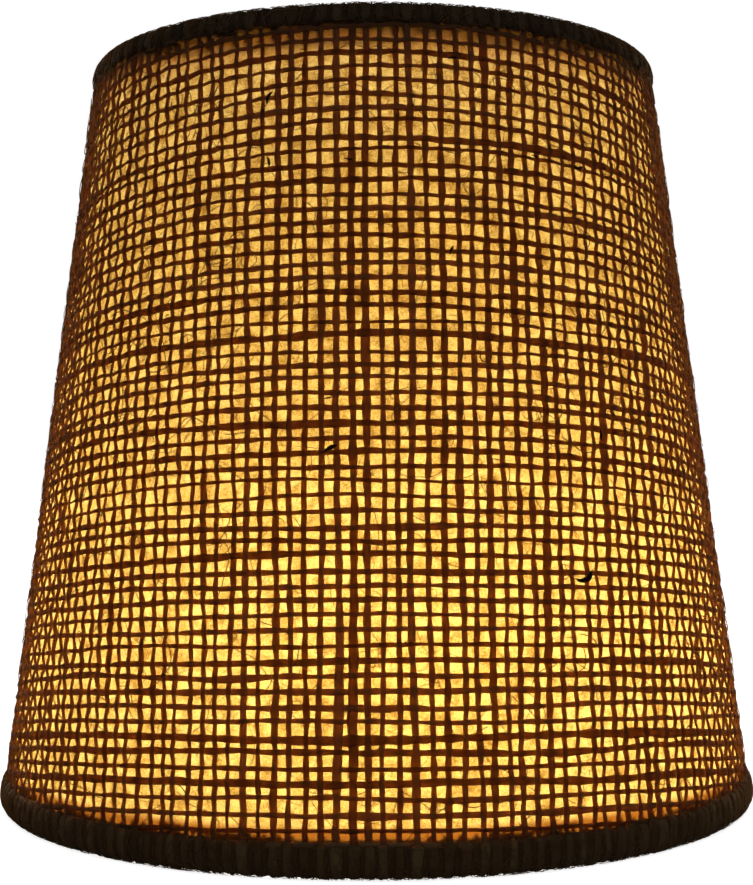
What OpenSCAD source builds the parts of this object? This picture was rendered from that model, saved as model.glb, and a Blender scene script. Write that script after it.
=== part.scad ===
// Clip-on candle-bulb lamp shade: a burlap cover bonded to a stiff translucent liner,
// rolled into a cone between two wire rings, with a cross wire that carries a bulb clip.
// Millimetres. The shade stands on its lower edge: +Z is up, the origin is the centre of
// that edge, the seam is at the back (+Y) and the cross wire runs along X.

/* [Shade] */
// Height over both edges
shade_h = 127; // [110:1:160]
// Outside diameter of the upper edge
top_d = 100; // [90:1:120]
// Outside diameter of the lower edge
bottom_d = 131; // [122:1:170]

/* [Cover and liner] */
// Thickness of the woven cover
cloth_t = 1.1; // [0.8:0.1:1.6]
// Thickness of the translucent liner
liner_t = 0.4; // [0.3:0.1:0.8]
// Width of the cover's lap at the back
lap_w = 10; // [6:1:14]
// Width of the tape that joins the liner's ends
tape_w = 14; // [10:1:20]

/* [Edge trims] */
// Thickness of the burlap trim strips
trim_t = 0.7; // [0.5:0.1:1]
// Reach of the lower trim above its ring, outside
bottom_outer_leg = 2.8; // [0.5:0.1:8]
// Reach of the lower trim above its ring, inside
bottom_inner_leg = 3.6; // [1.5:0.1:8]
// Reach of the upper trim below its ring, outside
top_outer_leg = 0.4; // [0.2:0.1:8]
// Reach of the upper trim below its ring, inside
top_inner_leg = 1.5; // [1.3:0.1:6]

/* [Frame wires] */
// Diameter of the two rings' wire
ring_wire_d = 2.4; // [2:0.1:3]
// Diameter of the cross wire
cross_wire_d = 2; // [1.6:0.1:2.4]
// Drop of the cross wire's middle below the upper ring
cross_drop = 12; // [8:1:16]

/* [Bulb clip] */
// Diameter of the bulb that the clip is made for
bulb_d = 35; // [32:1:38]
// Diameter of the hoops' spring wire
hoop_wire_d = 1.6; // [1.2:0.1:1.8]
// Length of the saddle along the cross wire
saddle_len = 12; // [10:1:13]
// Height of each hoop, from its pivot down to its foot
hoop_h = 43; // [38:1:48]

/* [Hidden] */
$fn = 64;

// The section through the wall is drawn upright and then leaned inwards by the wall's slope.
ring_fit = 0.02;                                     // play round a ring inside its trim
pocket_r = (cloth_t + liner_t + ring_wire_d) / 2 + ring_fit; // half the room inside a trim
roll_r = pocket_r + trim_t;                          // outside radius of a trim's roll
foot_flat = 0.25;                                    // how far the lower roll is pressed flat
bottom_z = roll_r - foot_flat;                       // height of the lower roll's centre
top_z = shade_h - roll_r;                            // height of the upper roll's centre
wall_rise = top_z - bottom_z;
wall_lean = atan((bottom_d - top_d) / 2 / wall_rise); // the wall's slope from upright
wall_len = norm([(bottom_d - top_d) / 2, wall_rise]); // between the two roll centres
bottom_r = bottom_d / 2 - roll_r * cos(wall_lean);   // radius of the lower roll's centre
top_r = top_d / 2 - roll_r * cos(wall_lean);         // radius of the upper roll's centre

// Depths in the wall's section, measured outwards from the line through the roll centres.
cloth_x = pocket_r - cloth_t;                        // the cover's inner face
liner_x = cloth_x - liner_t;                         // the liner's inner face
ring_x = liner_x - ring_fit - ring_wire_d / 2;       // the rings' centre
liner_tuck = 1;                                      // the liner's reach past a roll's centre
back = 90;                                           // azimuth of the seam

lap_t = 0.8;                                         // the lap is pressed thinner than the cover
lap_root = 0.4;                                      // how deep the lap is sunk into the cover
lap_clear = 0.3;                                     // between the lap's ends and the trims
tape_t = 0.12;
tape_clear = 0.6;                                    // between the tape's ends and the trims

// The upper ring's centre, in radius and height.
top_ring_r = top_r + ring_x * cos(wall_lean);
top_ring_z = top_z + ring_x * sin(wall_lean);
weld_gap = 0.15;                                     // between the cross wire's end and the ring
weld_r = 1.7;                                        // radius of a weld bead
weld_gap_r = 0.04;                                   // the bead's room round the curved ring
notch_play = 0.3;                                    // round the cross wire where the trim is slit

// The cross wire: level at the ring, a long slope, and a short level middle.
cross_end_x = top_ring_r - ring_wire_d / 2 - weld_gap;
cross_shoulder = 4;                                  // level length at the ring
cross_bend_r = 5;
cross_z = top_ring_z - cross_drop;                   // height of the clip's pivot
cross_mid = saddle_len / 2 + 2.5;                    // half the level middle, to its corner

// The saddle: a strip curled round the cross wire and, at its two edges, round the hoops.
strip_t = 0.6;
pivot_play = 0.05;                                   // running play of every pivot
edge_y = 5;                                          // the hoops' pivots, out from the cross wire
edge_drop = 5;                                       // and below it
crown_bore = cross_wire_d / 2 + pivot_play;
edge_bore = hoop_wire_d / 2 + pivot_play;

// A hoop's corners, as half widths, distances out from the shade's axis and heights.
pivot_z = cross_z - edge_drop;
hoop_bend_r = 2.2;
bend_ball = 0.03;                                    // how far the ball at a bend's end stands proud
hoop_top_x = saddle_len / 2 + 2.6;
leg_x = bulb_d / 2 * sin(39);                        // the legs touch the bulb off its middle
foot_x = leg_x - 3;
leg_y = bulb_d / 2 * cos(39) - 2.1;                  // the closed legs stand inside the bulb's circle
shoulder_y = leg_y - 1;
foot_y = bulb_d / 2 + 0.5;                           // the foot flares past the bulb
hoop_corners = [
    [-hoop_top_x, edge_y, pivot_z],
    [hoop_top_x, edge_y, pivot_z],
    [leg_x, shoulder_y, pivot_z - 11],
    [leg_x, leg_y, pivot_z - hoop_h + 12],
    [foot_x, foot_y, pivot_z - hoop_h],
    [-foot_x, foot_y, pivot_z - hoop_h],
    [-leg_x, leg_y, pivot_z - hoop_h + 12],
    [-leg_x, shoulder_y, pivot_z - 11]
];

jute = [0.62, 0.48, 0.29];
dark_jute = [0.42, 0.33, 0.21];
ivory = [0.95, 0.88, 0.7];
wire_colour = [0.8, 0.72, 0.5];
spring_colour = [0.7, 0.7, 0.7];

function unit(v) = v / norm(v);

// Places a section at a roll's centre, leaning with the wall.
module on_wall(r, z) {
    translate([r, z]) rotate(wall_lean) children();
}

// A slab of the wall's section: from one depth to another, and from one height to another.
module wall_slab(x0, x1, y0, y1) {
    on_wall(bottom_r, bottom_z) translate([x0, y0]) square([x1 - x0, y1 - y0]);
}

// The section of a trim: a strip folded round its ring, with legs that point along +Y.
module trim_section(outer_leg, inner_leg) {
    difference() {
        union() {
            circle(r = roll_r);
            translate([-roll_r, 0]) square([roll_r, inner_leg]);
            square([roll_r, outer_leg]);
        }
        circle(r = pocket_r);
        translate([-pocket_r, 0]) square([2 * pocket_r, roll_r + inner_leg + outer_leg]);
    }
}

// A straight run of wire.
module wire_run(a, b, d) {
    v = b - a;
    translate(a) rotate([0, acos(v.z / norm(v)), atan2(v.y, v.x)]) cylinder(d = d, h = norm(v));
}

// The bend that rounds corner q between the points before and after it, with a ball at each end
// that joins it to the straight runs.
module wire_bend(p, q, s, bend_r, d) {
    u = unit(q - p);
    v = unit(s - q);
    turn = acos(u * v);
    n = unit(cross(u, v));
    e = cross(u, n);
    start = q - u * bend_r * tan(turn / 2);
    c = start - e * bend_r;
    multmatrix([[e.x, u.x, n.x, c.x], [e.y, u.y, n.y, c.y], [e.z, u.z, n.z, c.z], [0, 0, 0, 1]]) {
        rotate_extrude(angle = turn) translate([bend_r, 0]) circle(d = d);
        for (a = [0, turn]) rotate([0, 0, a]) translate([bend_r, 0, 0]) sphere(r = d / 2 + bend_ball);
    }
}

function cut_back(p, q, s, bend_r) = bend_r * tan(acos(unit(q - p) * unit(s - q)) / 2);

// A closed hoop of wire through the given corners, each rounded.
module wire_loop(corners, bend_r, d) {
    n = len(corners);
    for (i = [0 : n - 1]) {
        p = corners[(i + n - 1) % n];
        q = corners[i];
        s = corners[(i + 1) % n];
        t = corners[(i + 2) % n];
        along = unit(s - q);
        wire_bend(p, q, s, bend_r, d);
        wire_run(q + along * cut_back(p, q, s, bend_r), s - along * cut_back(q, s, t, bend_r), d);
    }
}

// An open wire through the given corners, each rounded except the two ends.
module wire_path(corners, bend_r, d) {
    n = len(corners);
    for (i = [0 : n - 2]) {
        q = corners[i];
        s = corners[i + 1];
        along = unit(s - q);
        from = i == 0 ? 0 : cut_back(corners[i - 1], q, s, bend_r);
        to = i == n - 2 ? 0 : cut_back(q, s, corners[i + 2], bend_r);
        wire_run(q + along * from, s - along * to, d);
        if (i < n - 2) wire_bend(q, s, corners[i + 2], bend_r, d);
    }
}

// A strip up the back of the wall, between two depths, of a given width.
module back_strip(x0, x1, y0, y1, width) {
    half = width / 2 / ((bottom_r + top_r) / 2) * 180 / PI;
    rotate([0, 0, back - half]) rotate_extrude(angle = 2 * half) wall_slab(x0, x1, y0, y1);
}

module cover() {
    color(jute) union() {
        rotate_extrude() wall_slab(cloth_x, pocket_r, 0, wall_len);
        back_strip(pocket_r - lap_root, pocket_r + lap_t, bottom_outer_leg + lap_clear,
                   wall_len - top_outer_leg - lap_clear, lap_w);
    }
}

module liner() {
    color(ivory) rotate_extrude() wall_slab(liner_x, cloth_x, -liner_tuck, wall_len + liner_tuck);
}

module seam_tape() {
    color(ivory) back_strip(liner_x - tape_t, liner_x, bottom_inner_leg + tape_clear,
                            wall_len - top_inner_leg - tape_clear, tape_w);
}

module bottom_trim() {
    color(dark_jute) rotate_extrude() intersection() {
        on_wall(bottom_r, bottom_z) trim_section(bottom_outer_leg, bottom_inner_leg);
        square([bottom_d, shade_h]);
    }
}

// The upper trim is slit on both sides where the cross wire leaves the ring.
module top_trim() {
    color(dark_jute) difference() {
        rotate_extrude() on_wall(top_r, top_z) mirror([0, 1]) trim_section(top_outer_leg, top_inner_leg);
        for (side = [0, 180]) rotate([0, 0, side]) {
            translate([top_ring_r - 2 * roll_r, 0, top_ring_z]) rotate([0, 90, 0])
                cylinder(d = 2 * weld_r + notch_play, h = 2 * roll_r);
            translate([top_ring_r - 2 * roll_r, -weld_r - notch_play / 2, top_ring_z - 2 * roll_r])
                cube([2 * roll_r, 2 * weld_r + notch_play, 2 * roll_r]);
        }
    }
}

module top_ring() {
    color(wire_colour) rotate_extrude() translate([top_ring_r, top_ring_z]) circle(d = ring_wire_d);
}

module bottom_ring() {
    color(wire_colour) rotate_extrude() on_wall(bottom_r, bottom_z) translate([ring_x, 0])
        circle(d = ring_wire_d);
}

module cross_wire() {
    color(wire_colour) wire_path([
        [-cross_end_x, 0, top_ring_z],
        [-cross_end_x + cross_shoulder, 0, top_ring_z],
        [-cross_mid, 0, cross_z],
        [cross_mid, 0, cross_z],
        [cross_end_x - cross_shoulder, 0, top_ring_z],
        [cross_end_x, 0, top_ring_z]
    ], cross_bend_r, cross_wire_d);
}

// A bead on the end of the cross wire at +X, shaped round the wire and the ring.
module weld() {
    color(spring_colour) difference() {
        translate([cross_end_x - 0.2, 0, top_ring_z]) sphere(r = weld_r);
        translate([0, 0, top_ring_z]) rotate([0, 90, 0]) cylinder(d = cross_wire_d, h = cross_end_x);
        translate([top_ring_r, 0, top_ring_z]) rotate([90, 0, 0])
            cylinder(r = ring_wire_d / 2 + weld_gap_r, h = 4 * weld_r, center = true);
    }
}

module right_weld() {
    weld();
}

module left_weld() {
    mirror([1, 0, 0]) weld();
}

module clip_saddle() {
    color(spring_colour) translate([0, 0, cross_z]) rotate([90, 0, 90])
        linear_extrude(height = saddle_len, center = true) difference() {
            union() {
                circle(r = crown_bore + strip_t);
                for (side = [-1, 1]) {
                    translate([side * edge_y, -edge_drop]) circle(r = edge_bore + strip_t);
                    rotate(atan2(-edge_drop, side * edge_y)) translate([0, -strip_t / 2])
                        square([norm([edge_y, edge_drop]), strip_t]);
                }
            }
            circle(r = crown_bore);
            for (side = [-1, 1]) translate([side * edge_y, -edge_drop]) circle(r = edge_bore);
        }
}

module hoop() {
    color(spring_colour) wire_loop(hoop_corners, hoop_bend_r, hoop_wire_d);
}

module rear_hoop() {
    hoop();
}

module front_hoop() {
    mirror([0, 1, 0]) hoop();
}

cover();
liner();
seam_tape();
top_trim();
bottom_trim();
top_ring();
bottom_ring();
cross_wire();
left_weld();
right_weld();
clip_saddle();
front_hoop();
rear_hoop();
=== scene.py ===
"""Looks of the burlap lamp shade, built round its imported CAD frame.

Lengths are in metres, unless a comment says mm. Distances s run from the cone's tip down the wall,
azimuths theta from the front, and w outwards from the middle of the cloth.
"""

import math

import bpy
import numpy as np
from mathutils import Matrix, Vector

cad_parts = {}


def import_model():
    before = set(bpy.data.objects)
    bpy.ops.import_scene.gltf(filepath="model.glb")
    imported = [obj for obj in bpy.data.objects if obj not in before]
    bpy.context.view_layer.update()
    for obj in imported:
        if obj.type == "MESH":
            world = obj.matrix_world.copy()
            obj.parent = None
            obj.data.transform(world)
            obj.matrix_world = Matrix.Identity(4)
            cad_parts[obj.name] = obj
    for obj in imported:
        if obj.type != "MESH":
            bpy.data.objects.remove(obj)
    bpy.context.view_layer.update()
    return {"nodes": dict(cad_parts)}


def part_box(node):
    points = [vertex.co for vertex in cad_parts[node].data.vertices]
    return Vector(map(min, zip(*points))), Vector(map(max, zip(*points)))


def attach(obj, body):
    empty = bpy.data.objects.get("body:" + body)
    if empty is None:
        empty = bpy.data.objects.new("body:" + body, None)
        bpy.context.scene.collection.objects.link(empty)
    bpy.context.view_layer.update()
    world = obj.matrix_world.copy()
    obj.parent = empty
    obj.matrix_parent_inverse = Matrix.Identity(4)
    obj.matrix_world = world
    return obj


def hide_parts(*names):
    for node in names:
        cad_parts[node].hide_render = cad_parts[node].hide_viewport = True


MM = 0.001
SEED = 1127

# The wall's section, as in the CAD part.
CLOTH_THICK = 1.1 * MM
LINER_THICK = 0.4 * MM
RING_WIRE = 2.4 * MM
TRIM_THICK = 0.7 * MM
RING_PLAY = 0.02 * MM
FOOT_FLAT = 0.25 * MM
POCKET = (CLOTH_THICK + LINER_THICK + RING_WIRE) / 2 + RING_PLAY
ROLL = POCKET + TRIM_THICK

# The weave. A spread is that of the logarithm of the threads' widths.
WARP_PITCH = 2.24 * MM
WEFT_PITCH = 2.13 * MM
WARP_HALF_WIDTH = 0.44 * MM
WEFT_HALF_WIDTH = 0.38 * MM
WARP_SPREAD = 0.13
WEFT_SPREAD = 0.17
YARN_FLATNESS = 0.46  # thickness over width
WARP_WAVE = 0.16 * MM  # how far a thread rises and sinks as it passes over and under
WEFT_WAVE = 0.18 * MM
YARN_STEP = 0.55 * MM
YARN_SIDES = 6
FIBRE_SIDES = 3
LAP = 10 * MM
LAP_RISE = 0.95 * MM

# How one thread wanders and swells: the shortest and longest wave, and the size.
MISPLACED = 0.055  # spread of the threads' places, as a part of the pitch
SLOW_WANDER = (35 * MM, 110 * MM, 0.15 * MM)
QUICK_WANDER = (6 * MM, 18 * MM, 0.04 * MM)
UNEVENNESS = (3 * MM, 16 * MM, 0.11)
SLUBS = 4  # mean count on a thread
THINNEST, THICKEST = 0.55, 2.3  # limits of a thread's width, over its usual width

# The turned edges. Outer and inner are reaches up the wall from the centre of each roll, and the
# bulge is how far the outer leg stands out from the pocket that holds the ring.
BOTTOM_OUTER = 2.8 * MM
BOTTOM_INNER = 3.9 * MM
BOTTOM_BULGE = 0.1 * MM
BOTTOM_UNDER = 1.2 * MM  # how far the cover runs on under the bottom band
TOP_OUTER = 1.2 * MM
TOP_INNER = 4.0 * MM
TOP_BULGE = -0.25 * MM
BOTTOM_OPEN = 1.1 * MM  # how much of the inner reach is left unmatted
TOP_OPEN = 2.0 * MM
EDGE_EASE = 1.2 * MM  # the length over which the cover's weave packs into the edge's
EDGE_PACKING = 0.75  # how much wider a packed thread is
PLY_SINK = 0.14 * MM  # how deep the second ply lies under the first
BACKING_START = 0.3 * MM
BACKING_FACES = (0.02 * MM, -0.34 * MM)
BACKING_RIPPLE = (0.04, 0.3, 0.16 * MM)  # in radians round the shade, and the size
EDGE_HAIRS = 4200

# Dark bits of bark caught in the cloth: height in mm, azimuth in degrees, length in mm, heading.
BARK = [
    (41, 29, 4.2, 0.2),
    (111, -18, 2.6, 1.3),
    (103, 36, 2.4, 0.1),
    (59, -8, 3.0, 0.5),
    (88, 12, 1.8, 1.2),
]
BARK_MORE = 26
BARK_SLIMNESS = 0.09  # half width over length

# Loose fibres.
HAIRS = 4200
HAIR_RADIUS = 0.042 * MM
FUZZ_SPACING = 3.2 * MM

# The camera, fitted to the outline.
CAMERA_DISTANCE = 0.2899
CAMERA_HEIGHT = 0.0577
CAMERA_PITCH = 0.0138
CAMERA_ROLL = -0.0053
CAMERA_YAW = 0.0010
CAMERA_LENS = 66.1

# The materials.
TWIST = math.radians(24)
GLOW_SHARE = 0.43  # how much of a thread's look is light that comes through it
LOW_PAINTED_SHADE = (6.4 * MM, 7.4 * MM)  # heights between which the painted shade beside the lower edge fades
HIGH_PAINTED_SHADE = (117.5 * MM, 122 * MM)
# The dull orange of the painted shade that dims the liner's glow beside the turned edges.
PAINTED_EDGE_SHADE = (0.42, 0.18, 0.035, 1)
REFRACTED = 0.28
LINER_CLEAR = 0.6
METAL = {
    "bright_wire": ((0.62, 0.60, 0.56), 0.28, 5200.0, ("top_ring", "bottom_ring", "cross_wire")),
    "weld_bead": ((0.36, 0.33, 0.30), 0.5, 2400.0, ("left_weld", "right_weld")),
    "clip_strip": ((0.66, 0.62, 0.54), 0.3, 4200.0, ("clip_saddle",)),
    "spring_wire": ((0.34, 0.33, 0.31), 0.28, 6000.0, ("front_hoop", "rear_hoop")),
}  # colour, roughness, scale of the drawing marks, and the CAD nodes

# The light. A lamp's row is its height, radius and watts.
LAMP_COLOUR = (1.0, 0.84, 0.37)
LAMPS = {"bulb_low": (0.019, 0.022, 0.42), "bulb_high": (0.098, 0.020, 0.100)}
LAMP_SIDE = 6 * MM  # how far to the right of the middle the lamps stand
RIM_COLOUR = (1, 0.88, 0.66)
ROOM_FILL = 0.035
FLOOR_HALF = 6.0


class Wall:
    """The cone that the cloth is wrapped on, and the flat pattern that it was cut from."""

    def __init__(self):
        low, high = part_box("bottom_trim")[1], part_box("top_trim")[1]
        self.low_z = ROLL - FOOT_FLAT
        self.high_z = high.z - ROLL
        rise = self.high_z - self.low_z
        self.lean = math.atan((low.x - high.x) / rise)
        self.cos, self.sin = math.cos(self.lean), math.sin(self.lean)
        self.low_r = low.x - ROLL * self.cos
        self.high_r = high.x - ROLL * self.cos
        self.length = math.hypot(rise, low.x - high.x)
        self.mid = POCKET - CLOTH_THICK / 2
        self.far = (self.low_r + self.mid * self.cos) / self.sin
        self.near = self.far - self.length
        self.half_angle = math.pi * self.sin

    def section(self, x, y):
        """Radius and height of a point x outwards and y up the wall from the lower roll's centre."""
        return self.low_r + x * self.cos - y * self.sin, self.low_z + x * self.sin + y * self.cos

    def polar(self, u, v):
        """Distance from the cone's tip and azimuth of a point of the flat pattern."""
        return np.hypot(u, v), np.arctan2(u, v) / self.sin


def turned(theta, radius, height):
    """Points at an azimuth from the front, a radius and a height."""
    return np.stack([radius * np.sin(theta), -radius * np.cos(theta), height], -1)


class Ripple:
    """Smooth noise along a line: a sum of sines with seeded wavelengths and phases."""

    def __init__(self, rng, shortest, longest, size, terms=5):
        self.k = 2 * math.pi / rng.uniform(shortest, longest, terms)
        self.phase = rng.uniform(0, 2 * math.pi, terms)
        self.size = size * math.sqrt(2 / terms)

    def __call__(self, x):
        return self.size * np.sin(np.multiply.outer(x, self.k) + self.phase).sum(-1)


class Yarn:
    """One thread of the flat cloth: how it wanders, and how thick it is along its length."""

    def __init__(self, rng, place, half_width, spread, pitch):
        self.place = place + rng.normal(0, MISPLACED * pitch)
        self.slow = Ripple(rng, *SLOW_WANDER)
        self.quick = Ripple(rng, *QUICK_WANDER)
        self.uneven = Ripple(rng, *UNEVENNESS)
        self.half_width = half_width * math.exp(rng.normal(0, spread))
        self.slubs = [
            (rng.uniform(-200, 200) * MM, rng.uniform(3, 14) * MM, rng.uniform(0.15, 0.5))
            for _ in range(rng.poisson(SLUBS))
        ]
        self.tone = rng.uniform(0, 1)
        self.middle = 0.0

    def line(self, x):
        """Sideways place at a distance x along the thread."""
        return self.place + self.slow(x) + self.quick(x)

    def width(self, x):
        """Half width at a distance x along the thread."""
        grow = 1 + self.uneven(x)
        for centre, length, size in self.slubs:
            grow = grow + size * np.exp(-(((x - self.middle - centre) / length) ** 2))
        return self.half_width * np.clip(grow, THINNEST, THICKEST)


class Cloth:
    """The flat cloth: its warp and weft threads, and where they cross."""

    def __init__(self, wall, rng):
        reach = wall.far * math.sin(wall.half_angle) + LAP + 20 * MM
        count = int(reach / WARP_PITCH)
        low = (wall.near - 16 * MM) * math.cos(wall.half_angle + LAP / wall.far)
        rows = int((wall.far + 16 * MM - low) / WEFT_PITCH)
        self.wall = wall
        self.warps = [
            Yarn(rng, (i + 0.5) * WARP_PITCH, WARP_HALF_WIDTH, WARP_SPREAD, WARP_PITCH)
            for i in range(-count, count)
        ]
        self.wefts = [
            Yarn(rng, low + j * WEFT_PITCH, WEFT_HALF_WIDTH, WEFT_SPREAD, WEFT_PITCH)
            for j in range(rows)
        ]
        for warp in self.warps:
            warp.middle = (wall.near + wall.far) / 2
        warp_places = np.array([w.place for w in self.warps])
        weft_places = np.array([w.place for w in self.wefts])
        self.rows_at = np.sort(np.array([w.line(warp_places) for w in self.wefts]), 0)
        self.columns_at = np.sort(np.array([w.line(weft_places) for w in self.warps]), 0)

    def warp(self, i, lo, hi):
        """Flat points (u, v, w) of warp i between two distances, with its half widths."""
        yarn = self.warps[i]
        v = np.arange(lo, hi, YARN_STEP)
        index = np.interp(v, self.rows_at[:, i], np.arange(len(self.wefts)))
        w = WARP_WAVE * np.cos(math.pi * index) * (-1) ** i
        return yarn.line(v), v, w, yarn.width(v)

    def weft(self, j, lo, hi):
        """Flat points (u, v, w) of weft j between two distances, with its half widths."""
        yarn = self.wefts[j]
        u = np.arange(lo, hi, YARN_STEP)
        index = np.interp(u, self.columns_at[:, j], np.arange(len(self.warps)))
        w = -WEFT_WAVE * np.cos(math.pi * index) * (-1) ** j
        return u, yarn.line(u), w, yarn.width(u)

    def threads(self, keep):
        """Every stretch of thread whose polar place passes keep, as (u, v, w, half width, tone)."""
        reach = self.wall.far * 0.5
        far = self.wall.far + 20 * MM
        near = self.wefts[0].place - 5 * MM
        runs = [(self.warp(i, near, far), y.tone) for i, y in enumerate(self.warps)]
        runs += [(self.weft(j, -reach, reach), y.tone) for j, y in enumerate(self.wefts)]
        for (u, v, w, half), tone in runs:
            inside = keep(*self.wall.polar(u, v))
            edges = np.flatnonzero(np.diff(np.concatenate([[0], inside.astype(int), [0]])))
            for a, b in zip(edges[::2], edges[1::2]):
                if b - a > 4:
                    yield u[a:b], v[a:b], w[a:b], half[a:b], tone


class Tubes:
    """Collects threads as closed tubes and makes one mesh of them."""

    def __init__(self, sides):
        self.sides = sides
        self.points = []
        self.lengths = []
        self.arounds = []
        self.tones = []

    def add(self, centre, outward, half_width, half_thick, tone):
        """A tube along centre. Its width lies across the surface whose normals are outward."""
        along = np.gradient(centre, axis=0)
        along /= np.linalg.norm(along, axis=1)[:, None]
        across = np.cross(along, outward)
        across /= np.linalg.norm(across, axis=1)[:, None]
        up = np.cross(across, along)
        end = np.ones(len(centre))
        end[[0, -1]] = 0.6
        angle = 2 * math.pi * np.arange(self.sides) / self.sides
        ring = (half_width * end)[:, None, None] * np.cos(angle)[None, :, None] * across[:, None]
        ring = ring + (half_thick * end)[:, None, None] * np.sin(angle)[None, :, None] * up[:, None]
        points = (centre[:, None] + ring).reshape(-1, 3)
        points[:, 2] = np.maximum(points[:, 2], 0.01 * MM)
        self.points.append(points)
        steps = np.linalg.norm(np.diff(centre, axis=0), axis=1)
        self.lengths.append(np.concatenate([[0], np.cumsum(steps)]))
        self.arounds.append(2 * math.pi * float(np.mean(half_width)) * 0.9)
        self.tones.append(tone)

    def shelves(self):
        """For each tube the row and the start of its strip, packed longest first, and the row count."""
        sizes = np.array([d[-1] for d in self.lengths])
        width = max(sizes.max(), math.sqrt(sizes.sum() * 0.004)) * 1.002
        place = np.zeros((len(sizes), 2))
        free = []
        for k in np.argsort(-sizes):
            row = next((r for r, room in enumerate(free) if room >= sizes[k]), None)
            if row is None:
                row = len(free)
                free.append(width)
            place[k] = row, width - free[row]
            free[row] -= sizes[k] + 0.4 * MM
        return place, width, len(free)

    def faces(self):
        """The vertices of every face in turn, and where each face starts: sides, then two end caps."""
        n = self.sides
        side = np.arange(n)
        loops, starts = [], []
        base = total = 0
        for along in self.lengths:
            rings = len(along)
            a = base + np.arange(rings - 1)[:, None] * n + side[None]
            b = base + np.arange(rings - 1)[:, None] * n + (side[None] + 1) % n
            loops.append(np.stack([a, b, b + n, a + n], -1).reshape(-1))
            loops += [base + side[::-1], base + (rings - 1) * n + side]
            starts.append(total + 4 * np.arange((rings - 1) * n))
            total += 4 * (rings - 1) * n
            starts.append(total + n * np.arange(2))
            total += 2 * n
            base += rings * n
        return np.concatenate(loops), np.concatenate(starts)

    def layouts(self):
        """The faces' corners laid flat: as strips packed in one square, and in mm along and round."""
        n = self.sides
        side = np.arange(n)
        place, width, rows = self.shelves()
        bake, yarn = [], []
        for k, along in enumerate(self.lengths):
            x0 = np.repeat(along[:-1, None], n, 1)
            x1 = np.repeat(along[1:, None], n, 1)
            y0 = np.repeat(side[None] / n, len(along) - 1, 0)
            y1 = y0 + 1 / n
            quad = np.stack([x0, y0, x0, y1, x1, y1, x1, y0], -1).reshape(-1, 2)
            cap0 = np.stack([np.full(n, along[0]), (side[::-1] + 0.5) / n], -1)
            cap1 = np.stack([np.full(n, along[-1]), (side + 0.5) / n], -1)
            flat = np.concatenate([quad, cap0, cap1])
            row, start = place[k]
            strip = ((start + flat[:, 0]) / width, (row + 0.12 + 0.76 * flat[:, 1]) / rows)
            bake.append(np.stack(strip, -1))
            true_size = (flat[:, 0] / MM, flat[:, 1] * self.arounds[k] / MM + 7.3 * k)
            yarn.append(np.stack(true_size, -1))
        return {"OFBake": np.concatenate(bake), "Yarn": np.concatenate(yarn)}

    def make(self, name):
        """The mesh object, with both layouts and the tone of each thread."""
        points = np.concatenate(self.points)
        loops, starts = self.faces()
        mesh = bpy.data.meshes.new(name)
        mesh.vertices.add(len(points))
        mesh.vertices.foreach_set("co", points.astype(np.float32).ravel())
        mesh.loops.add(len(loops))
        mesh.loops.foreach_set("vertex_index", loops.astype(np.int32))
        mesh.polygons.add(len(starts))
        mesh.polygons.foreach_set("loop_start", starts.astype(np.int32))
        mesh.update(calc_edges=True)
        for layer, corners in self.layouts().items():
            uv = mesh.uv_layers.new(name=layer)
            uv.data.foreach_set("uv", corners.astype(np.float32).ravel())
        tone = mesh.attributes.new("tone", "FLOAT", "POINT")
        counts = [len(along) * self.sides for along in self.lengths]
        tone.data.foreach_set("value", np.repeat(self.tones, counts).astype(np.float32))
        mesh.validate()
        mesh.shade_smooth()
        return link(bpy.data.objects.new(name, mesh))


def on_wall(wall, s, theta, w):
    """Points and outward normals on the cloth, at a distance s from the cone's tip and lifted by w."""
    radius = s * wall.sin + w * wall.cos
    height = wall.low_z + wall.mid * wall.sin + (wall.far - s) * wall.cos + w * wall.sin
    outward = turned(theta, np.full_like(theta, wall.cos), np.full_like(theta, wall.sin))
    return turned(theta, radius, height), outward


def link(obj):
    """Puts an object in the scene."""
    bpy.context.scene.collection.objects.link(obj)
    return obj


def cover(wall, cloth):
    """The woven cover on the wall, with its lap at the back."""
    tubes = Tubes(YARN_SIDES)

    def keep(s, theta):
        lap = math.pi + LAP / (s * wall.sin)
        on = (s > wall.near + TOP_OUTER) & (s < wall.far - BOTTOM_OUTER + BOTTOM_UNDER)
        return on & (theta > -math.pi) & (theta < lap)

    for u, v, w, half, tone in cloth.threads(keep):
        s, theta = wall.polar(u, v)
        past = (theta - math.pi) * s * wall.sin
        w = w + LAP_RISE * smooth((past + 3 * MM) / (3 * MM))
        centre, outward = on_wall(wall, s, theta, w)
        tubes.add(centre, outward, half, half * YARN_FLATNESS, tone)
    return tubes.make("woven_cover")


def smooth(t):
    """A soft step from 0 to 1 as t goes from 0 to 1."""
    t = np.clip(t, 0, 1)
    return t * t * (3 - 2 * t)


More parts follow.
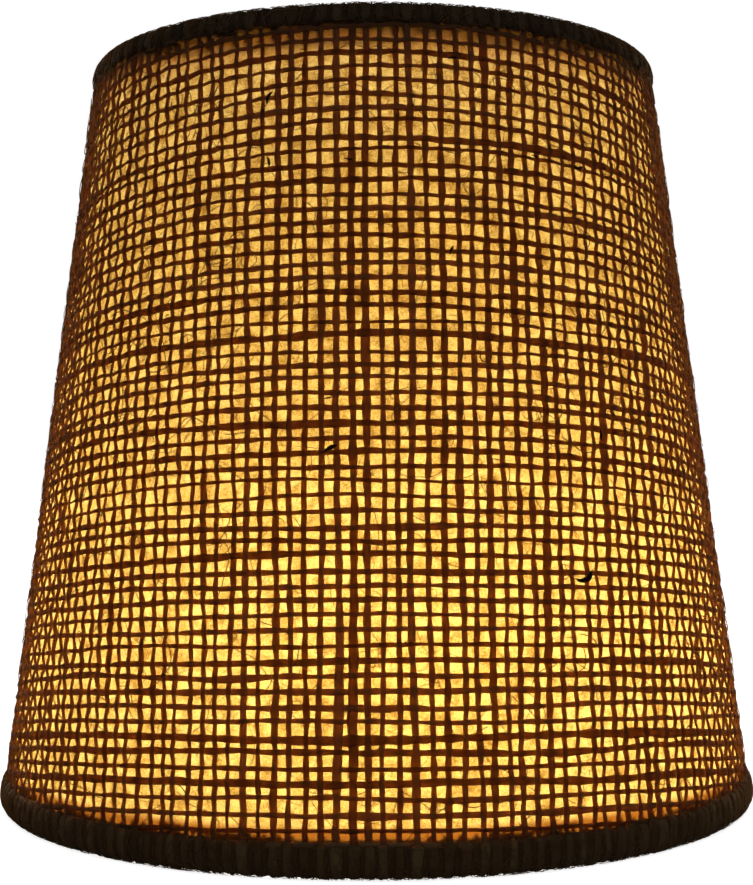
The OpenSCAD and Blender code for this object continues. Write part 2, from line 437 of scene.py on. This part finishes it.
class Edge:
    """The line that an edge's cloth follows in the section: down outside, round the ring, up inside."""

    def __init__(self, wall, top):
        outer, inner = (TOP_OUTER, TOP_INNER) if top else (BOTTOM_OUTER, BOTTOM_INNER)
        out = POCKET + (TOP_BULGE if top else BOTTOM_BULGE)
        deep = ROLL - 0.18 * MM - (0 if top else FOOT_FLAT)
        rest = POCKET - CLOTH_THICK - LINER_THICK - 0.35 * MM
        bend = [(out * math.cos(a), -deep * math.sin(a)) for a in np.linspace(0, math.pi, 25)]
        points = [(wall.mid, outer), ((wall.mid + out) / 2, outer - 0.5 * MM), (out, outer - MM)]
        points += bend
        points += [(-out + 0.1 * MM, 0.5 * MM), (rest - 0.9 * MM, 1.7 * MM), (rest, 2.4 * MM)]
        points += [(rest, inner)]
        points = np.array(points)
        ends = np.concatenate([[0], np.cumsum(np.linalg.norm(np.diff(points, axis=0), axis=1))])
        self.length = ends[-1]
        even = np.linspace(0, self.length, 120)
        line = np.stack([np.interp(even, ends, points[:, k]) for k in (0, 1)], -1)
        for _ in range(6):
            line[1:-1] = (line[:-2] + 2 * line[1:-1] + line[2:]) / 4
        self.even, self.line = even, line
        self.wall, self.top, self.outer = wall, top, outer
        self.normal = np.gradient(line, axis=0)[:, ::-1] * np.array([-1, 1])
        self.normal /= np.linalg.norm(self.normal, axis=1)[:, None]

    def place(self, theta, t, w):
        """Points and outward normals at a distance t along the line, lifted by w."""
        x, y = (np.interp(t, self.even, self.line[:, k]) for k in (0, 1))
        nx, ny = (np.interp(t, self.even, self.normal[:, k]) for k in (0, 1))
        x, y = x + nx * w, y + ny * w
        if self.top:
            y, ny = self.wall.length - y, -ny
        radius, height = self.wall.section(x, y)
        nr, nz = nx * self.wall.cos - ny * self.wall.sin, nx * self.wall.sin + ny * self.wall.cos
        height = np.maximum(height, 0.02 * MM)
        return turned(theta, radius, height), turned(theta, nr, nz)


def edge_cloth(wall, cloth, top):
    """The cloth turned round a ring: the cover's own threads run on, over a second, sunk ply."""
    edge = Edge(wall, top)
    tubes = Tubes(YARN_SIDES)
    start = wall.near + edge.outer if top else wall.far - edge.outer
    dense = edge.length - (TOP_OPEN if top else BOTTOM_OPEN)
    ply = Cloth(wall, np.random.default_rng(SEED + 31 + top))
    for layer, sink, reach in ((cloth, 0.0, edge.length), (ply, PLY_SINK, dense)):

        def keep(s, theta):
            t = start - s if top else s - start
            return (t > 5 * sink) & (t < reach) & (np.abs(theta) < math.pi + 0.04)

        for u, v, w, half, tone in layer.threads(keep):
            s, theta = wall.polar(u, v)
            t = start - s if top else s - start
            packed = smooth(t / EDGE_EASE) * smooth((dense - t) / MM)
            level = 0.07 * MM if np.ptp(v) > np.ptp(u) else -0.13 * MM
            centre, outward = edge.place(theta, t, w * (1 - 0.8 * packed) + level * packed - sink)
            flat = YARN_FLATNESS * (1 - 0.5 * packed)
            tubes.add(centre, outward, half * (1 + EDGE_PACKING * packed), half * flat, tone)
    return tubes.make("top_edge_cloth" if top else "bottom_edge_cloth")


def edge_hairs(wall, top):
    """Matted fibres that lie along the turn of an edge."""
    edge = Edge(wall, top)
    rng = np.random.default_rng(SEED + 41 + top)
    tubes = Tubes(FIBRE_SIDES)
    for _ in range(EDGE_HAIRS):
        length = rng.uniform(1.5, 5.5) * MM
        heading = rng.normal(0, 0.35) if rng.random() < 0.7 else rng.uniform(0, math.pi)
        bend = heading + rng.normal(0, 0.5) * np.linspace(0, 1, 8)
        t = rng.uniform(0, edge.length * 0.6) + np.cumsum(np.cos(bend)) * length / 8
        across = np.cumsum(np.sin(bend)) * length / 8
        theta = rng.uniform(-math.pi, math.pi) + across / wall.low_r
        lift = (0.2 + rng.uniform(0, 0.14)) * MM
        centre, outward = edge.place(theta, np.clip(t, 0, edge.length), np.full(8, lift))
        size = HAIR_RADIUS * rng.uniform(0.8, 1.5) * np.ones(8)
        tubes.add(centre, outward, size, size, rng.uniform(0, 1))
    return tubes.make("top_edge_fibres" if top else "bottom_edge_fibres")


def edge_backing(wall, top):
    """The glued, matted fibre inside a turned edge, which closes its cells."""
    edge = Edge(wall, top)
    t = np.linspace(BACKING_START, edge.length - (TOP_OPEN if top else BOTTOM_OPEN), 40)
    around = np.linspace(-math.pi, math.pi, 901)[:-1]
    rng = np.random.default_rng(SEED + 5 + top)
    waves = [Ripple(rng, *BACKING_RIPPLE, 9) for _ in range(2)]
    grid = []
    for lift in BACKING_FACES:
        theta = np.repeat(around[:, None], len(t), 1)
        shift = np.linspace(1, 0, len(t))[None] * waves[0](around)[:, None]
        shift = shift + np.linspace(0, 1, len(t))[None] * waves[1](around)[:, None]
        grid.append(edge.place(theta, t[None] + shift, np.full_like(theta, lift))[0])
    loop = np.concatenate([grid[0], grid[1][:, ::-1]], 1)
    along = np.concatenate([t, t[::-1] + edge.length])
    return closed_grid("top_edge_backing" if top else "bottom_edge_backing", loop, along)


def closed_grid(name, points, along):
    """A mesh that closes both ways, from points[around, section], at distances along the section."""
    rows, cols = points.shape[:2]
    a = np.arange(rows * cols).reshape(rows, cols)
    b, c = np.roll(a, -1, 0), np.roll(a, -1, 1)
    d = np.roll(b, -1, 1)
    faces = np.stack([a, c, d, b], -1).reshape(-1, 4)
    mesh = bpy.data.meshes.new(name)
    mesh.from_pydata(points.reshape(-1, 3).tolist(), [], faces.tolist())
    row, col = (np.repeat(k.reshape(-1, 1), 4, 1) for k in np.indices((rows, cols)))
    row, col = row + np.array([0, 0, 1, 1]), col + np.array([0, 1, 1, 0])
    run = np.concatenate([along, [2 * along[-1] - along[-2]]])[col] / MM
    turn = row * (np.linalg.norm(points[0, 0]) / MM * 2 * math.pi / rows)
    layers = (("OFBake", (row / rows, col / cols)), ("Yarn", (run, turn)))
    for layer, data in layers:
        uv = mesh.uv_layers.new(name=layer)
        uv.data.foreach_set("uv", np.stack(data, -1).astype(np.float32).ravel())
    mesh.shade_smooth()
    return link(bpy.data.objects.new(name, mesh))


def fuzz(wall, cloth):
    """Short fibre ends that stick out of the threads' sides."""
    rng = np.random.default_rng(SEED + 17)
    tubes = Tubes(FIBRE_SIDES)
    x = np.linspace(0, 1, 5)

    def keep(s, theta):
        return (s > wall.near) & (s < wall.far) & (np.abs(theta) < math.pi)

    for u, v, w, half, tone in cloth.threads(keep):
        for k in rng.integers(0, len(u) - 1, rng.poisson(len(u) * YARN_STEP / FUZZ_SPACING)):
            forward = math.atan2(v[k + 1] - v[k], u[k + 1] - u[k])
            side = rng.choice([-1, 1])
            heading = forward + side * rng.uniform(0.15, 1.2) + math.pi * rng.integers(0, 2)
            length = rng.uniform(0.5, 2.2) * MM
            bend = heading + rng.normal(0, 1.1) * x
            across = side * half[k] * 0.8
            fu = u[k] - across * math.sin(forward) + np.cumsum(np.cos(bend)) * length / 5
            fv = v[k] + across * math.cos(forward) + np.cumsum(np.sin(bend)) * length / 5
            lift = w[k] + rng.uniform(-0.1, 0.3) * MM * x
            s, theta = wall.polar(fu, fv)
            s = np.clip(s, wall.near - 1 * MM, wall.far + 1 * MM)
            centre, outward = on_wall(wall, s, theta, lift)
            size = HAIR_RADIUS * rng.uniform(0.6, 1.1) * np.ones(5)
            tubes.add(centre, outward, size, size, tone)
    return tubes.make("thread_fuzz")


def bark(wall):
    """Dark bits of bark and root caught in the cloth."""
    rng = np.random.default_rng(SEED + 23)
    tubes = Tubes(6)
    bits = [(z * MM, math.radians(a), length * MM, turn) for z, a, length, turn in BARK]
    for _ in range(BARK_MORE):
        z, theta = rng.uniform(10, 118) * MM, rng.uniform(-math.pi, math.pi)
        bits.append((z, theta, rng.uniform(0.8, 2.2) * MM, rng.uniform(0, 3)))
    for z, theta, length, turn in bits:
        x = np.linspace(-0.5, 0.5, 9)
        bend = turn + rng.normal(0, 0.8) * x
        s = wall.far - (z - wall.low_z) / wall.cos - np.cumsum(np.sin(bend)) * length / 9
        around = theta + np.cumsum(np.cos(bend)) * length / 9 / (s * wall.sin)
        centre, outward = on_wall(wall, s, around, (0.3 + 0.08 * np.sin(9 * x + turn)) * MM)
        half = length * BARK_SLIMNESS * (1 - (2 * x) ** 4 * 0.8) * (1 + 0.25 * np.sin(7 * x + turn))
        tubes.add(centre, outward, half, half * 0.6, rng.uniform(0, 1))
    return tubes.make("bark_flecks")


def hairs(wall):
    """Loose fibres that stand off the threads and lie across the cells."""
    rng = np.random.default_rng(SEED + 9)
    tubes = Tubes(FIBRE_SIDES)
    for _ in range(HAIRS):
        s = rng.uniform(wall.near - 1 * MM, wall.far + 2 * MM)
        theta = rng.uniform(-math.pi, math.pi)
        long = rng.random() < 0.3
        length = rng.uniform(4, 13) * MM if long else rng.uniform(1.2, 4) * MM
        n = 12 if long else 7
        heading = rng.choice([0, math.pi / 2]) + rng.normal(0, 0.6)
        curl = rng.normal(0, 2.2 if long else 1.0) / length
        bow = Ripple(rng, length / 2, length * 2, 0.35)
        x = np.linspace(0, length, n)
        turn = heading + curl * x + bow(x)
        du = np.cumsum(np.cos(turn)) * length / n
        ds = np.cumsum(np.sin(turn)) * length / n
        lift = (0.38 + rng.uniform(0, 0.14)) * MM
        w = lift * np.sin(math.pi * np.linspace(0.08, 0.92, n)) ** 0.6
        place = np.clip(s + ds, wall.near - 1.5 * MM, wall.far + 1.5 * MM)
        angle = theta + du / (s * wall.sin)
        centre, outward = on_wall(wall, place, angle, w)
        size = HAIR_RADIUS * (1.5 if long else 1.0) * rng.uniform(0.7, 1.4) * np.ones(n)
        tubes.add(centre, outward, size, size, rng.uniform(0, 1))
    return tubes.make("stray_fibres")


class Nodes:
    """Short calls for building a material."""

    def __init__(self, name):
        self.material = bpy.data.materials.new(name)
        self.material.use_nodes = True
        self.tree = self.material.node_tree
        self.tree.nodes.clear()

    def add(self, kind, inputs=(), **settings):
        """A node with its inputs linked or set, and its settings made."""
        node = self.tree.nodes.new(kind)
        for key, value in settings.items():
            setattr(node, key, value)
        for key, value in dict(inputs).items():
            socket = node.inputs[key]
            if isinstance(value, bpy.types.NodeSocket):
                self.tree.links.new(value, socket)
            else:
                socket.default_value = value
        return node

    def ramp(self, factor, stops):
        """The colour between stops, each a place from 0 to 1 and a colour."""
        node = self.add("ShaderNodeValToRGB", {"Fac": factor})
        elements = node.color_ramp.elements
        while len(elements) < len(stops):
            elements.new(0.5)
        for element, (at, colour) in zip(elements, stops):
            element.position = at
            element.color = (*colour, 1)
        return node.outputs["Color"]

    def output(self, shader):
        self.add("ShaderNodeOutputMaterial", {"Surface": shader})
        return self.material


def jute(name, dark, light, glow):
    """Jute: matted, twisted fibre with darker and paler streaks, which lets some light through."""
    n = Nodes(name)
    uv = n.add("ShaderNodeUVMap", uv_map="Yarn").outputs["UV"]
    tone = n.add("ShaderNodeAttribute", attribute_name="tone").outputs["Fac"]
    twist = n.add("ShaderNodeMapping", {"Vector": uv, "Rotation": (0, 0, TWIST),
                                        "Scale": (0.9, 9.0, 1.0)}).outputs["Vector"]
    streak = n.add("ShaderNodeTexNoise", {"Vector": twist, "Scale": 1.4, "Detail": 3.0}).outputs["Fac"]
    patch = n.add("ShaderNodeTexNoise", {"Vector": uv, "Scale": 0.28, "Detail": 2.0}).outputs["Fac"]
    mixed = n.add("ShaderNodeMath", {0: streak, 1: patch}, operation="ADD").outputs[0]
    mixed = n.add("ShaderNodeMath", {0: mixed, 1: tone}, operation="ADD").outputs[0]
    level = n.add("ShaderNodeMapRange", {"Value": mixed, "From Min": 0.7, "From Max": 2.3}).outputs[0]
    middle = tuple((a + b) / 2 for a, b in zip(dark, light))
    colour = n.ramp(level, [(0.1, dark), (0.5, middle), (0.9, light)])
    bump = n.add("ShaderNodeBump", {"Height": streak, "Strength": 0.55, "Distance": 0.06 * MM})
    body = n.add("ShaderNodeBsdfPrincipled", {
        "Base Color": colour, "Roughness": 0.88, "Sheen Weight": 0.12, "Sheen Roughness": 0.6,
        "Specular IOR Level": 0.2, "Normal": bump.outputs["Normal"]})
    through = n.add("ShaderNodeBsdfTranslucent", {"Color": (*glow, 1), "Normal": bump.outputs["Normal"]})
    mix = n.add("ShaderNodeMixShader", {"Fac": GLOW_SHARE, 1: body.outputs[0], 2: through.outputs[0]})
    return n.output(mix.outputs[0])


def painted_shade_near_edges(n, height):
    """How far painted shade dims the liner's glow at a height: fully by the lower edge, partly by the
    upper.
    """
    below = n.add("ShaderNodeMapRange", {
        "Value": height, "From Min": LOW_PAINTED_SHADE[0], "From Max": LOW_PAINTED_SHADE[1],
        "To Min": 1.0, "To Max": 0.0}).outputs[0]
    above = n.add("ShaderNodeMapRange", {
        "Value": height, "From Min": HIGH_PAINTED_SHADE[0], "From Max": HIGH_PAINTED_SHADE[1],
        "To Max": 0.85}).outputs[0]
    return n.add("ShaderNodeMath", {0: below, 1: above}, operation="ADD").outputs[0]


def liner_sheet():
    """Ivory plastic that scatters light, with glue and specks of fibre on its outer face, and painted
    shade that dims its glow beside the turned edges.
    """
    n = Nodes("liner_sheet")
    place = n.add("ShaderNodeTexCoord").outputs["Object"]
    blotch = n.add("ShaderNodeTexNoise", {
        "Vector": place, "Scale": 420.0, "Detail": 4.0, "Roughness": 0.6}).outputs["Fac"]
    speck = n.add("ShaderNodeTexNoise", {
        "Vector": place, "Scale": 1500.0, "Detail": 3.0, "Distortion": 2.5}).outputs["Fac"]
    level = n.add("ShaderNodeMath", {0: blotch, 1: speck}, operation="ADD").outputs[0]
    level = n.add("ShaderNodeMapRange", {
        "Value": level, "From Min": 0.75, "From Max": 1.25}).outputs[0]
    normal = n.add("ShaderNodeNewGeometry").outputs["True Normal"]
    facing = n.add("ShaderNodeVectorMath", {0: place, 1: normal}, operation="DOT_PRODUCT")
    inner = n.add("ShaderNodeMath", {0: facing.outputs["Value"], 1: 0.0}, operation="LESS_THAN")
    inner = inner.outputs[0]
    calm = n.add("ShaderNodeMapRange", {
        "Value": blotch, "To Min": 0.55, "To Max": 1.0}).outputs[0]
    level = n.add("ShaderNodeMix", {"Factor": inner, "A": level, "B": calm}).outputs["Result"]
    tint = n.ramp(level, [
        (0.0, (0.42, 0.25, 0.07)), (0.4, (0.74, 0.56, 0.26)), (0.8, (0.92, 0.80, 0.50))])
    height = n.add("ShaderNodeSeparateXYZ", {"Vector": place}).outputs["Z"]
    # Painted shade: the liner's colour turns dull orange beside the turned edges, where they shade it.
    edge_shaded = n.add("ShaderNodeMix", {0: painted_shade_near_edges(n, height), 6: tint, 7: PAINTED_EDGE_SHADE}, data_type="RGBA")
    tint = edge_shaded.outputs[2]
    bump = n.add("ShaderNodeBump", {"Height": speck, "Strength": 0.2, "Distance": 0.05 * MM})
    spread = n.add("ShaderNodeBsdfTranslucent", {"Color": tint})
    ahead = n.add("ShaderNodeBsdfRefraction", {"Color": tint, "Roughness": 0.85, "IOR": 1.35})
    through = n.add("ShaderNodeMixShader", {"Fac": REFRACTED, 1: spread.outputs[0], 2: ahead.outputs[0]})
    low = n.add("ShaderNodeMath", {0: level, 1: 0.6}, operation="MULTIPLY").outputs[0]
    side = n.add("ShaderNodeMath", {0: inner, 1: 0.4, 2: low}, operation="MULTIPLY_ADD").outputs[0]
    glue = n.ramp(side, [
        (0.0, (0.16, 0.09, 0.03)), (0.6, (0.44, 0.29, 0.11)), (0.9, (0.66, 0.53, 0.31))])
    skin = n.add("ShaderNodeBsdfPrincipled", {
        "Base Color": glue, "Roughness": 0.5, "Normal": bump.outputs["Normal"]})
    sheet = n.add("ShaderNodeMixShader", {"Fac": LINER_CLEAR, 1: skin.outputs[0], 2: through.outputs[0]})
    return n.output(open_inside(n, sheet.outputs[0]))


def open_inside(n, sheet):
    """The sheet, but clear to the light that reaches it from its back, so that it is lit once."""
    shadow = n.add("ShaderNodeLightPath").outputs["Is Shadow Ray"]
    back = n.add("ShaderNodeNewGeometry").outputs["Backfacing"]
    clear_here = n.add("ShaderNodeMath", {0: shadow, 1: back}, operation="MULTIPLY").outputs[0]
    clear = n.add("ShaderNodeBsdfTransparent").outputs[0]
    return n.add("ShaderNodeMixShader", {"Fac": clear_here, 1: sheet, 2: clear}).outputs[0]


def plated(name, colour, roughness, scale):
    """Plated steel with fine drawing marks and a faint dull bloom."""
    n = Nodes(name)
    place = n.add("ShaderNodeTexCoord").outputs["Object"]
    fine = n.add("ShaderNodeTexNoise", {"Vector": place, "Scale": scale, "Detail": 4.0}).outputs["Fac"]
    worn = n.add("ShaderNodeTexNoise", {"Vector": place, "Scale": 160.0, "Detail": 3.0}).outputs["Fac"]
    dull = tuple(c * 0.72 for c in colour)
    shade = n.ramp(worn, [(0.3, dull), (0.6, colour)])
    rough = n.add("ShaderNodeMapRange", {"Value": worn, "From Min": 0.3, "From Max": 0.7,
                                         "To Min": roughness + 0.15, "To Max": roughness}).outputs[0]
    bump = n.add("ShaderNodeBump", {"Height": fine, "Strength": 0.15, "Distance": 0.02 * MM})
    body = n.add("ShaderNodeBsdfPrincipled", {
        "Base Color": shade, "Metallic": 1.0, "Roughness": rough, "Normal": bump.outputs["Normal"]})
    return n.output(body.outputs[0])


def tape_cloth():
    """Thin woven ivory tape."""
    n = Nodes("tape_cloth")
    place = n.add("ShaderNodeTexCoord").outputs["Object"]
    weave = n.add("ShaderNodeTexVoronoi", {"Vector": place, "Scale": 2600.0}).outputs["Distance"]
    stain = n.add("ShaderNodeTexNoise", {"Vector": place, "Scale": 120.0, "Detail": 4.0}).outputs["Fac"]
    colour = n.ramp(stain, [(0.3, (0.44, 0.34, 0.19)), (0.7, (0.58, 0.47, 0.29))])
    bump = n.add("ShaderNodeBump", {"Height": weave, "Strength": 0.5, "Distance": 0.05 * MM})
    body = n.add("ShaderNodeBsdfPrincipled", {
        "Base Color": colour, "Roughness": 0.85, "Normal": bump.outputs["Normal"]})
    return n.output(body.outputs[0])


def dress(obj, material):
    """Gives an object its material and, for a new piece, its slot."""
    obj.data.materials.clear()
    obj.data.materials.append(material)
    return obj


def make_camera():
    """The camera in front of the shade, at the height and angle that its outline gives."""
    data = bpy.data.cameras.new("camera")
    data.lens = CAMERA_LENS
    data.sensor_width = 36
    data.clip_start = 0.01
    ahead = Vector((math.sin(CAMERA_YAW), math.cos(CAMERA_YAW), math.tan(CAMERA_PITCH))).normalized()
    right = Vector((math.cos(CAMERA_YAW), -math.sin(CAMERA_YAW), 0))
    above = right.cross(ahead)
    turn = Matrix.Rotation(-CAMERA_ROLL, 3, ahead)
    right, above = turn @ right, turn @ above
    camera = link(bpy.data.objects.new("camera", data))
    axes = Matrix((right, above, -ahead)).transposed()
    camera.matrix_world = Matrix.Translation((0, -CAMERA_DISTANCE, CAMERA_HEIGHT)) @ axes.to_4x4()
    bpy.context.scene.camera = camera


def area(name, place, aim, size, watts, colour=(1, 1, 1)):
    """A square studio light at a place, turned to what it aims at."""
    data = bpy.data.lights.new(name, "AREA")
    data.size = size
    data.energy = watts
    data.color = colour
    light = link(bpy.data.objects.new(name, data))
    light.location = place
    light.rotation_euler = (Vector(aim) - Vector(place)).to_track_quat("-Z", "Y").to_euler()
    return light


def make_light(floor):
    """Two warm lamps inside, dim soft studio light round the shade, and light for the floor alone."""
    for name, (height, radius, watts) in LAMPS.items():
        data = bpy.data.lights.new(name, "POINT")
        data.energy = watts
        data.color = LAMP_COLOUR
        data.shadow_soft_size = radius
        lamp = link(bpy.data.objects.new(name, data))
        lamp.location = (LAMP_SIDE, 0, height)
        lamp.visible_camera = False
    area("front", (0.2, -1.2, 0.9), (0, 0, 0.06), 0.9, 0.8)
    no_floor = bpy.data.collections.new("no_floor")
    no_floor.objects.link(floor)
    no_floor.collection_objects[0].light_linking.link_state = "EXCLUDE"
    for name, x in (("left", -0.8), ("right", 0.8)):
        rim = area(name, (x, 1.1, 0.3), (0, 0, 0.06), 0.8, 8, RIM_COLOUR)
        rim.light_linking.receiver_collection = no_floor
    only_floor = bpy.data.collections.new("floor_only")
    only_floor.objects.link(floor)
    overhead = area("overhead", (0, 0, 1.6), (0, 0, 0), 2.2, 22)
    overhead.light_linking.receiver_collection = only_floor


def make_room():
    """A room that is white to look at and gives only a dim fill."""
    world = bpy.data.worlds.new("room")
    bpy.context.scene.world = world
    world.use_nodes = True
    tree = world.node_tree
    tree.nodes.clear()
    seen = tree.nodes.new("ShaderNodeBackground")
    seen.inputs["Strength"].default_value = 1.0
    seen.inputs["Color"].default_value = (1, 1, 1, 1)
    fill = tree.nodes.new("ShaderNodeBackground")
    fill.inputs["Strength"].default_value = ROOM_FILL
    fill.inputs["Color"].default_value = (1, 1, 1, 1)
    mix = tree.nodes.new("ShaderNodeMixShader")
    path = tree.nodes.new("ShaderNodeLightPath")
    out = tree.nodes.new("ShaderNodeOutputWorld")
    tree.links.new(path.outputs["Is Camera Ray"], mix.inputs[0])
    tree.links.new(fill.outputs[0], mix.inputs[1])
    tree.links.new(seen.outputs[0], mix.inputs[2])
    tree.links.new(mix.outputs[0], out.inputs[0])


def make_floor():
    """The pale floor, whose own light lifts it to white away from the shade."""
    mesh = bpy.data.meshes.new("floor")
    corners = [(x * FLOOR_HALF, y * FLOOR_HALF, 0) for x, y in ((-1, -1), (1, -1), (1, 1), (-1, 1))]
    mesh.from_pydata(corners, [], [(0, 1, 2, 3)])
    floor = link(bpy.data.objects.new("floor", mesh))
    n = Nodes("pale_floor")
    place = n.add("ShaderNodeTexCoord").outputs["Object"]
    away = n.add("ShaderNodeVectorMath", {0: place}, operation="LENGTH").outputs["Value"]
    strength = n.add("ShaderNodeMapRange", {"Value": away, "From Min": 0.07, "From Max": 0.45,
                                            "To Min": 0.86, "To Max": 1.0}).outputs[0]
    matte = n.add("ShaderNodeBsdfDiffuse", {"Color": (0.86, 0.85, 0.84, 1)})
    lit = n.add("ShaderNodeEmission", {"Color": (1, 1, 1, 1), "Strength": strength})
    both = n.add("ShaderNodeAddShader", {0: matte.outputs[0], 1: lit.outputs[0]})
    mesh.materials.append(n.output(both.outputs[0]))
    floor.visible_diffuse = False
    floor.visible_glossy = False
    floor.visible_transmission = False
    return floor


def make_cover(wall):
    """The woven cover and everything that goes with it, dressed and riding on the shade."""
    cloth = Cloth(wall, np.random.default_rng(SEED))
    thread = jute("jute_thread", (0.13, 0.06, 0.018), (0.40, 0.25, 0.11), (0.76, 0.38, 0.07))
    # A lighter copy of the jute for the lower edge: painted light that stands in for the floor's bounce
    # onto the lower band.
    low_edge_painted_bounce = jute("jute_low_painted_bounce", (0.24, 0.13, 0.05), (0.60, 0.39, 0.18), (0.6, 0.3, 0.08))
    top_edge = jute("jute_top_edge", (0.12, 0.075, 0.035), (0.37, 0.26, 0.15), (0.5, 0.25, 0.08))
    dark = jute("bark", (0.035, 0.022, 0.012), (0.10, 0.07, 0.045), (0.12, 0.05, 0.02))
    fibre = jute("jute_fibre", (0.32, 0.18, 0.07), (0.58, 0.40, 0.19), (0.8, 0.45, 0.12))

    woven = dress(cover(wall, cloth), thread)
    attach(woven, "shade")
    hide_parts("cover")
    parts = []
    for top in (False, True):
        cloth_edge = dress(edge_cloth(wall, cloth, top), top_edge if top else low_edge_painted_bounce)
        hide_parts("top_trim" if top else "bottom_trim")
        backing = dress(edge_backing(wall, top), top_edge if top else low_edge_painted_bounce)
        loose = dress(edge_hairs(wall, top), fibre)
        parts += [cloth_edge, backing, loose]
    parts += [dress(hairs(wall), fibre), dress(fuzz(wall, cloth), fibre)]
    parts.append(dress(bark(wall), dark))
    for part in parts:
        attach(part, "shade")


def dress_frame(nodes):
    """Materials for the CAD nodes that show as they are."""
    dress(nodes["liner"], liner_sheet())
    dress(nodes["seam_tape"], tape_cloth())
    for name, (colour, roughness, scale, pieces) in METAL.items():
        metal = plated(name, colour, roughness, scale)
        for piece in pieces:
            dress(nodes[piece], metal)


def main():
    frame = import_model()
    make_cover(Wall())
    dress_frame(frame["nodes"])
    make_camera()
    make_light(make_floor())
    make_room()
    bpy.context.scene.view_settings.view_transform = "Standard"


main()
